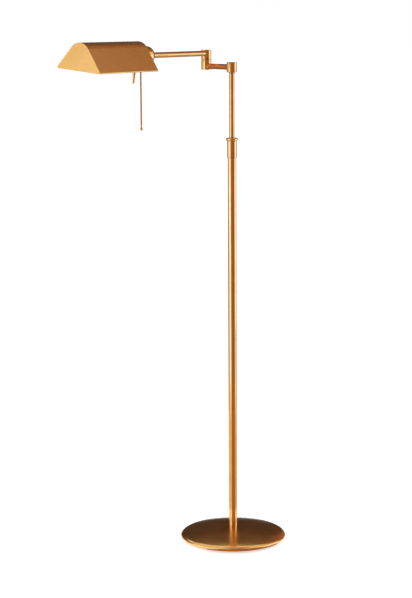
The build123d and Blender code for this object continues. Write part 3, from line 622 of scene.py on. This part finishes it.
def drill(piece, origin, heading, radius, depth):
    bm = bmesh.new()
    bmesh.ops.create_cone(bm, cap_ends=True, segments=roundSteps["small"], radius1=radius, radius2=radius,
                          depth=depth)
    middle = Vector(origin) + Vector(heading) * depth / 2
    bmesh.ops.transform(bm, matrix=aimed(middle, heading), verts=bm.verts[:])
    bit = newObject("drill", bm)
    cut = piece.modifiers.new("drill", "BOOLEAN")
    cut.object = bit
    cut.operation = "DIFFERENCE"
    cut.solver = "EXACT"
    settle(piece)
    bpy.data.objects.remove(bit)


def reachOf(node, axis="x"):
    low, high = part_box(node)
    return (getattr(high, axis) - getattr(low, axis)) / 2


# base: dome, broad shoulder and tight roll, with the slopes in degrees where they meet
base = {"hubRadius": 15 * mm, "hole": 5.3 * mm, "swell": 1.7 * mm, "domeSlope": 12.6, "shoulder": 16 * mm,
        "rollSlope": 45, "roll": 4 * mm, "under": 5.7 * mm, "lip": 7.2 * mm, "sheet": 1.5 * mm}
low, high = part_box("base_shell")
rollAt = Vector((-low.x - base["roll"], 0, base["under"] + base["roll"]))  # centre of the roll
slopes = [math.radians(base[key]) for key in ("domeSlope", "rollSlope")]
domeNormal, rollNormal = (Vector((math.sin(slope), 0, math.cos(slope))) for slope in slopes)
rollStart = rollAt + rollNormal * base["roll"]
shoulderStart = rollStart + (domeNormal - rollNormal) * base["shoulder"]
baseMaterial = brass("brassSpunBase", turnedGrain, gloss=0.20, across=1500.0, spun=0.5)
bm = turned([
    (base["hole"], high.z), (base["hubRadius"], high.z),
    (shoulderStart.x, shoulderStart.z, 0, base["swell"]),
    (rollStart.x, rollStart.z, 0, bulgeOf(base["shoulder"], slopes[1] - slopes[0])),
    (rollAt.x, base["under"], 0, bulgeOf(base["roll"], math.pi - slopes[1])),
    (rollAt.x - base["lip"], base["under"])], steps=roundSteps["base"])
baseShell = addPiece("baseShell", bm, baseMaterial, "base_shell", wall=base["sheet"])

gland = {"bore": 2.6 * mm, "mouth": 3.2 * mm, "mouthDeep": 1.2 * mm, "edge": 0.9 * mm, "margin": 1 * mm,
         "drillLong": 30 * mm, "mouthDrill": 5 * mm}
low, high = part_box("cord_gland")
middle = (low + high) / 2
glandOut = Vector((1, 0, 0))
bm = bmesh.new()
bmesh.ops.create_cube(bm, size=1)
bmesh.ops.scale(bm, vec=high - low, verts=bm.verts[:])
roundEdges(bm, bm.edges[:], gland["edge"])
bmesh.ops.translate(bm, vec=middle, verts=bm.verts[:])
cordGland = addPiece("cordGland", bm, finishes["black_plastic"], "cord_gland")
drill(cordGland, (low.x - gland["margin"], middle.y, middle.z), glandOut, gland["bore"], gland["drillLong"])
drill(cordGland, (high.x - gland["mouthDeep"], middle.y, middle.z), glandOut, gland["mouth"],
      gland["mouthDrill"])
drill(baseShell, (low.x, middle.y, middle.z), glandOut, gland["mouth"], gland["drillLong"])  # through the rim
print("base built")

# pole, collar and riser
tube = {"wall": 1.2 * mm, "edge": 0.3 * mm}
low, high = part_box("lower_tube")
sleeveLow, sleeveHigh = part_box("collar_sleeve")
capLow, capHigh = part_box("collar_cap")
poleRadius = reachOf("lower_tube")
poleMaterial = brass("brassDrawnPole", drawnGrain, seams=[(low.z, 0.8 * mm), (sleeveLow.z, 2 * mm)])
addTube("poleTube", "lower_tube", poleMaterial, poleRadius - tube["wall"], poleRadius, low.z, high.z,
        tube["edge"])

collar = {"edge": 0.4 * mm, "bead": 3.2 * mm, "bore": 6.8 * mm}
collarMaterial = brass("brassTurnedCollar", turnedGrain,
                       seams=[(sleeveLow.z, 1.5 * mm), (sleeveHigh.z, 0.8 * mm)])
addTube("collarSleeve", "collar_sleeve", collarMaterial, poleRadius + seatGap, reachOf("collar_sleeve"),
        sleeveLow.z, sleeveHigh.z, collar["edge"])
beadRadius = reachOf("collar_cap")
bm = turned([  # the cap's spigot is inside the sleeve, and its bead stands on the sleeve's end
    (collar["bore"], capLow.z), (poleRadius, capLow.z), (poleRadius, sleeveHigh.z),
    (beadRadius, sleeveHigh.z, collar["bead"]), (beadRadius, capHigh.z, collar["bead"]),
    (collar["bore"], capHigh.z, collar["edge"])], closed=True)
addPiece("collarBead", bm, collarMaterial, "collar_cap")

low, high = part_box("riser_tube")
riserRadius = reachOf("riser_tube")
riserMaterial = brass("brassDrawnRiser", drawnGrain, seams=[(capHigh.z, 3 * mm), (high.z, 2 * mm)])
addTube("riserTube", "riser_tube", riserMaterial, riserRadius - tube["wall"], riserRadius, low.z, high.z,
        tube["edge"])
print("pole built")

# swivels
swivel = {"radius": 12 * mm, "edge": 0.6 * mm, "capEdge": 0.35 * mm, "cavity": 9.0 * mm, "web": 4.0 * mm,
          "bore": 4.1 * mm, "socket": 6.52 * mm, "socketSeat": 8.0 * mm, "screwHole": 1.55 * mm,
          "drillLong": 20 * mm}


def barrel(name, node, capNode, place, material, capAtTop):
    low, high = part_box(node)
    radius = reachOf(node)
    webEnd, openEnd = (low.z, high.z) if capAtTop else (high.z, low.z)
    web = webEnd + math.copysign(swivel["web"], openEnd - webEnd)
    bm = turned([
        (swivel["bore"], webEnd), (radius, webEnd, swivel["edge"]), (radius, openEnd, swivel["edge"]),
        (swivel["cavity"], openEnd), (swivel["cavity"], web), (swivel["bore"], web)], place, closed=True)
    piece = addPiece(name, bm, material, node)
    capLow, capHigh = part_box(capNode)
    outer, inner = (capHigh.z, capLow.z) if capAtTop else (capLow.z, capHigh.z)
    capRadius = swivel["cavity"] - seatGap
    bm = turned([(0, inner), (capRadius, inner), (capRadius, outer, swivel["capEdge"]), (0, outer)], place,
                steps=roundSteps["cap"])
    addPiece(name + "Cap", bm, material, capNode)
    return piece


low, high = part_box("pole_knuckle")
knuckleMaterial = brass("brassTurnedKnuckle", turnedGrain, seams=[(low.z, 1.2 * mm), (high.z, 0.8 * mm)])
knuckle = barrel("poleKnuckle", "pole_knuckle", "pole_knuckle_cap", Matrix(), knuckleMaterial, True)
drill(knuckle, (0, 0, shortHeight), shortHeading, swivel["socket"], swivel["drillLong"])
elbowMaterial = brass("brassTurnedElbow", turnedGrain, elbowPlace,
                      seams=[(elbowAxis.z, 0.6 * mm), (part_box("elbow_upper")[1].z, 0.6 * mm)])
elbowLow = barrel("elbowLower", "elbow_lower", "elbow_lower_cap", elbowPlace, elbowMaterial, False)
drill(elbowLow, (elbowAxis.x, elbowAxis.y, shortHeight), -shortHeading, swivel["socket"], swivel["drillLong"])
elbowTop = barrel("elbowUpper", "elbow_upper", "elbow_upper_cap", elbowPlace, elbowMaterial, True)
drill(elbowTop, armStart, armHeading, swivel["socket"], swivel["drillLong"])
screwLow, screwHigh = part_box("elbow_set_screw")
screwMiddle = (screwLow + screwHigh) / 2
screwHeading = Vector((screwMiddle.x - elbowAxis.x, screwMiddle.y - elbowAxis.y, 0)).normalized()
drill(elbowTop, (elbowAxis.x, elbowAxis.y, screwMiddle.z), screwHeading, swivel["screwHole"],
      swivel["drillLong"])
print("swivels built")

# arms
span = Vector((elbowAxis.x, elbowAxis.y, 0)).length
armRadius = reachOf("upper_arm_tube", "z")
# painted shade: the short arm's brass is a deeper, more saturated orange than the rest, for the look that the
# light gives it
shortMaterial = brass("brassDrawnShortArm", drawnGrain, shortPlace,
                      seams=[(swivel["radius"], 3 * mm), (span - swivel["radius"], 3 * mm)],
                      Bright=(0.95, 0.46, 0.115), Deep=(0.84, 0.36, 0.075))
addTube("shortArmTube", "lower_arm_tube", shortMaterial, armRadius - tube["wall"], armRadius,
        swivel["socketSeat"], span - swivel["socketSeat"], tube["edge"], shortPlace)
low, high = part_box("upper_arm_tube")
longMaterial = brass("brassDrawnLongArm", drawnGrain, armPlace,
                     seams=[(swivel["radius"], 3 * mm), (armStart.x - low.x, 2 * mm)])
addTube("longArmTube", "upper_arm_tube", longMaterial, armRadius - tube["wall"], armRadius,
        armStart.x - high.x, armStart.x - low.x, tube["edge"], armPlace)
print("arms built")

# socket cup, chain guide and handle
cup = {"bore": 4.05 * mm, "shoulder": 16.5 * mm, "sheet": 1.5 * mm}
low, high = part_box("socket_cup")
cupRadius = reachOf("socket_cup", "z")
cupStart, cupEnd = armStart.x - high.x, armStart.x - low.x
cupMaterial = brass("brassSpunCup", turnedGrain, armPlace, seams=[(cupStart, 1.6 * mm), (cupEnd, 1.4 * mm)])
bm = turned([(cup["bore"], cupStart), (cupRadius, cupStart, cup["shoulder"]), (cupRadius, cupEnd)], armPlace)
addPiece("socketCup", bm, cupMaterial, "socket_cup", wall=cup["sheet"])

guide = {"flange": 4.5 * mm, "flangeDeep": 1.5 * mm, "flangeSeat": 0.3 * mm, "flangeRound": 0.5 * mm,
         "throat": 3.0 * mm, "throatStep": 0.2 * mm, "throatRound": 0.4 * mm, "mouth": 4.0 * mm,
         "mouthRound": 0.3 * mm, "bore": 1.7 * mm, "flare": 1.1 * mm, "long": 6.5 * mm}
low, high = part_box("chain_guide")
guidePlace = aimed(((low.x + high.x) / 2, armStart.y, armStart.z), headDown)
guideMaterial = brass("brassTurnedGuide", turnedGrain, guidePlace, seams=[(cupRadius, 1 * mm)])
flangeEnd, guideEnd = cupRadius + guide["flangeDeep"], cupRadius + guide["long"]
bm = turned([
    (guide["bore"], cupRadius), (guide["flange"], cupRadius, guide["flangeSeat"]),
    (guide["flange"], flangeEnd, guide["flangeRound"]),
    (guide["throat"], flangeEnd + guide["throatStep"], guide["throatRound"]),
    (guide["mouth"], guideEnd, guide["mouthRound"]), (guide["bore"] + guide["flare"], guideEnd),
    (guide["bore"], flangeEnd)], guidePlace, closed=True, steps=roundSteps["small"])
addPiece("chainGuide", bm, guideMaterial, "chain_guide")

handle = {"stud": 2.0 * mm, "studTop": 18.4 * mm, "shoulder": 4.2 * mm, "shoulderTop": 21 * mm,
          "shoulderSeat": 0.4 * mm, "shoulderEnd": 24 * mm, "shoulderRound": 0.8 * mm, "neck": 4.3 * mm,
          "tip": 2.5 * mm, "end": 63.8 * mm}
low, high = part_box("turn_handle")
handlePlace = aimed(((low.x + high.x) / 2, armStart.y, armStart.z), headDown)
handleMaterial = brass("brassTurnedHandle", turnedGrain, handlePlace,
                       seams=[(handle["shoulderEnd"], 1.2 * mm)])
bm = turned([
    (0, handle["studTop"]), (handle["stud"], handle["studTop"]), (handle["stud"], handle["shoulderTop"]),
    (handle["shoulder"], handle["shoulderTop"], handle["shoulderSeat"]),
    (handle["shoulder"], handle["shoulderEnd"], handle["shoulderRound"]),
    (handle["neck"], handle["shoulderEnd"]), (handle["tip"], handle["end"] - handle["tip"]),
    (0, handle["end"], 0, bulgeOf(handle["tip"], math.pi / 2))], handlePlace, steps=roundSteps["small"])
addPiece("turnHandle", bm, handleMaterial, "turn_handle")
print("head fittings built")

# shade
shade = {"halfWide": 60 * mm, "lift": 28.4 * mm, "apex": 50.6 * mm, "ridge": 28.0 * mm, "farEdge": 3.6 * mm,
         "nearEdge": 1.8 * mm, "lip": 13.0 * mm, "sheet": 1.0 * mm, "plateEdge": 0.4 * mm, "plateRim": 60,
         "plateSharp": 30, "plateFlat": 0.99, "cupHole": 18.3 * mm}
low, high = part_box("shade_roof")
triangle = [(-shade["halfWide"], -shade["lift"], shade["farEdge"]), (0, shade["apex"], shade["ridge"]),
            (shade["halfWide"], -shade["lift"], shade["nearEdge"])]
lipEnd = shade["halfWide"] - shade["lip"]
roofMaterial = brass("brassBrushedShade", drawnGrain, headPlace @ Matrix.Rotation(-math.pi / 2, 4, "X"),
                     gloss=0.22)
bm = bmesh.new()
drawSection(bm, [(-lipEnd, -shade["lift"]), *triangle, (lipEnd, -shade["lift"])])
moveMade(bm, bmesh.ops.extrude_edge_only(bm, edges=bm.edges[:]), (0, high.x - low.x, 0))
bmesh.ops.recalc_face_normals(bm, faces=bm.faces[:])
bmesh.ops.translate(bm, vec=(0, low.x, 0), verts=bm.verts[:])
topFace = max(bm.faces, key=lambda face: face.calc_center_median().z)
topFace.normal_update()
if topFace.normal.z < 0:
    bmesh.ops.reverse_faces(bm, faces=bm.faces[:])
bmesh.ops.transform(bm, matrix=headPlace, verts=bm.verts[:])
addPiece("shadeRoof", bm, roofMaterial, "shade_roof", wall=shade["sheet"], inside=finishes["enamel"])


def endPlate(name, node, material, hole=0):
    low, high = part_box(node)
    bm = bmesh.new()
    drawSection(bm, triangle, closed=True)
    if hole:
        bmesh.ops.create_circle(bm, segments=roundSteps["hole"], radius=hole,
                                matrix=Matrix.Rotation(math.pi / 2, 4, "X"))
    bmesh.ops.triangle_fill(bm, edges=bm.edges[:], use_beauty=True, use_dissolve=True)
    moveMade(bm, bmesh.ops.extrude_face_region(bm, geom=bm.faces[:]), (0, high.x - low.x, 0))
    bmesh.ops.recalc_face_normals(bm, faces=bm.faces[:])
    steep = math.radians(shade["plateRim"])
    rims = [edge for edge in bm.edges if edge.is_manifold and edge.calc_face_angle() > steep]
    roundEdges(bm, rims, shade["plateEdge"])
    bmesh.ops.translate(bm, vec=(0, low.x, 0), verts=bm.verts[:])
    bmesh.ops.transform(bm, matrix=headPlace, verts=bm.verts[:])
    piece = addPiece(name, bm, material, node, sharp=shade["plateSharp"])
    for face in piece.data.polygons:
        face.use_smooth = abs(face.normal.x) < shade["plateFlat"]  # the plate's faces stay flat


plateMaterial = brass("brassBrushedPlate", drawnGrain, headPlace, gloss=0.20)
endPlate("shadeFreeEnd", "shade_free_end", plateMaterial)
endPlate("shadeArmEnd", "shade_arm_end", plateMaterial, shade["cupHole"])
print("shade built")

# pull chain: a link on the pin, and beads on a wire
chain = {"bead": 2.2 * mm, "pitch": 3.88 * mm, "wire": 1.3 * mm, "linkWide": 2.3 * mm, "linkWall": 0.8 * mm,
         "linkDeep": 2.4 * mm, "linkEdge": 0.25 * mm, "foot": 3.1 * mm, "throat": 2.1 * mm, "pin": 0.6 * mm}
chainMaterial = brass("brassChain", turnedGrain, Matrix.Translation(chainPivot), gloss=0.38, across=3200.0,
                      lacquer=0, Bright=(0.60, 0.27, 0.04), Deep=(0.49, 0.20, 0.028))
low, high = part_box("chain_drop")
beads = int((chainPivot.z - chain["pitch"] / 2 - high.z) / chain["pitch"])
wireLong = chain["pitch"] * beads
bm = bmesh.new()
for count in range(1, beads + 1):
    bmesh.ops.create_uvsphere(bm, u_segments=roundSteps["bead"], v_segments=roundSteps["beadRows"],
                              radius=chain["bead"],
                              matrix=Matrix.Translation((0, 0, -count * chain["pitch"])))
bmesh.ops.create_cone(bm, cap_ends=True, segments=roundSteps["wire"], radius1=chain["wire"],
                      radius2=chain["wire"], depth=wireLong,
                      matrix=Matrix.Translation((0, 0, -(wireLong + chain["foot"]) / 2)))
cheekSize = (chain["linkWall"], chain["linkDeep"], chain["foot"] + chain["linkDeep"] / 2)
cheekAt = (chain["linkWide"] - chain["linkWall"] / 2, (chain["linkDeep"] / 2 - chain["foot"]) / 2)
for side in (-1, 1):
    cheek = bmesh.ops.create_cube(bm, size=1)["verts"]
    bmesh.ops.scale(bm, vec=cheekSize, verts=cheek)
    bmesh.ops.translate(bm, vec=(side * cheekAt[0], 0, cheekAt[1]), verts=cheek)
    cheekEdges = dict.fromkeys(edge for vert in cheek for edge in vert.link_edges)
    roundEdges(bm, cheekEdges, chain["linkEdge"], segments=2)
crown = bmesh.ops.create_cube(bm, size=1)["verts"]
crownSize = (chain["linkWide"] * 2 - chain["linkWall"], chain["linkDeep"], chain["foot"] - chain["throat"])
bmesh.ops.scale(bm, vec=crownSize, verts=crown)
bmesh.ops.translate(bm, vec=(0, 0, -(chain["foot"] + chain["throat"]) / 2), verts=crown)
bmesh.ops.create_cone(bm, cap_ends=True, segments=roundSteps["pin"], radius1=chain["pin"],
                      radius2=chain["pin"], depth=chain["linkWide"] * 2,
                      matrix=Matrix.Rotation(math.pi / 2, 4, "Y"))
bmesh.ops.translate(bm, verts=bm.verts[:], vec=chainPivot)
addPiece("beadChain", bm, chainMaterial, "bead_chain")

drop = {"neck": 1.5 * mm, "neckShare": 0.16, "neckEdge": 0.3 * mm, "shoulder": 1.6 * mm, "bellyIn": 0.98,
        "bellyDown": 0.9, "bulge": 0.29}
dropRadius = reachOf("chain_drop")
neckEnd = high.z - (high.z - low.z) * drop["neckShare"]
bm = turned([
    (0, high.z), (drop["neck"], high.z, drop["neckEdge"]), (drop["neck"], neckEnd, drop["neckEdge"]),
    (dropRadius, low.z + dropRadius, drop["shoulder"]),
    (dropRadius * drop["bellyIn"], low.z + dropRadius * drop["bellyDown"]),
    (0, low.z, 0, dropRadius * drop["bulge"])], dropPlace, steps=roundSteps["small"])
addPiece("chainDrop", bm, brass("brassTurnedDrop", turnedGrain, dropPlace, gloss=0.16), "chain_drop")
print("chain built")

# finishes of the pieces that keep their solids
innerBrass = brass("brassPlain", turnedGrain, armPlace, gloss=0.22)
spindleMaterial = brass("brassTurnedSpindle", turnedGrain, gloss=0.22)
finishes.update(brass_inner=innerBrass, brass_satin=innerBrass, brass_chain=chainMaterial)
special = {"elbow_set_screw": finishes["screw"], "riser_spindle": spindleMaterial,
           "switch_plunger": chainMaterial}
keptNodes = {name: node for name, node in nodes.items() if not node.hide_render}
for name, node in keptNodes.items():
    node.data.materials.clear()
    node.data.materials.append(special.get(name, finishes[slots[name]]))
print("finishes set on", len(keptNodes), "kept nodes")
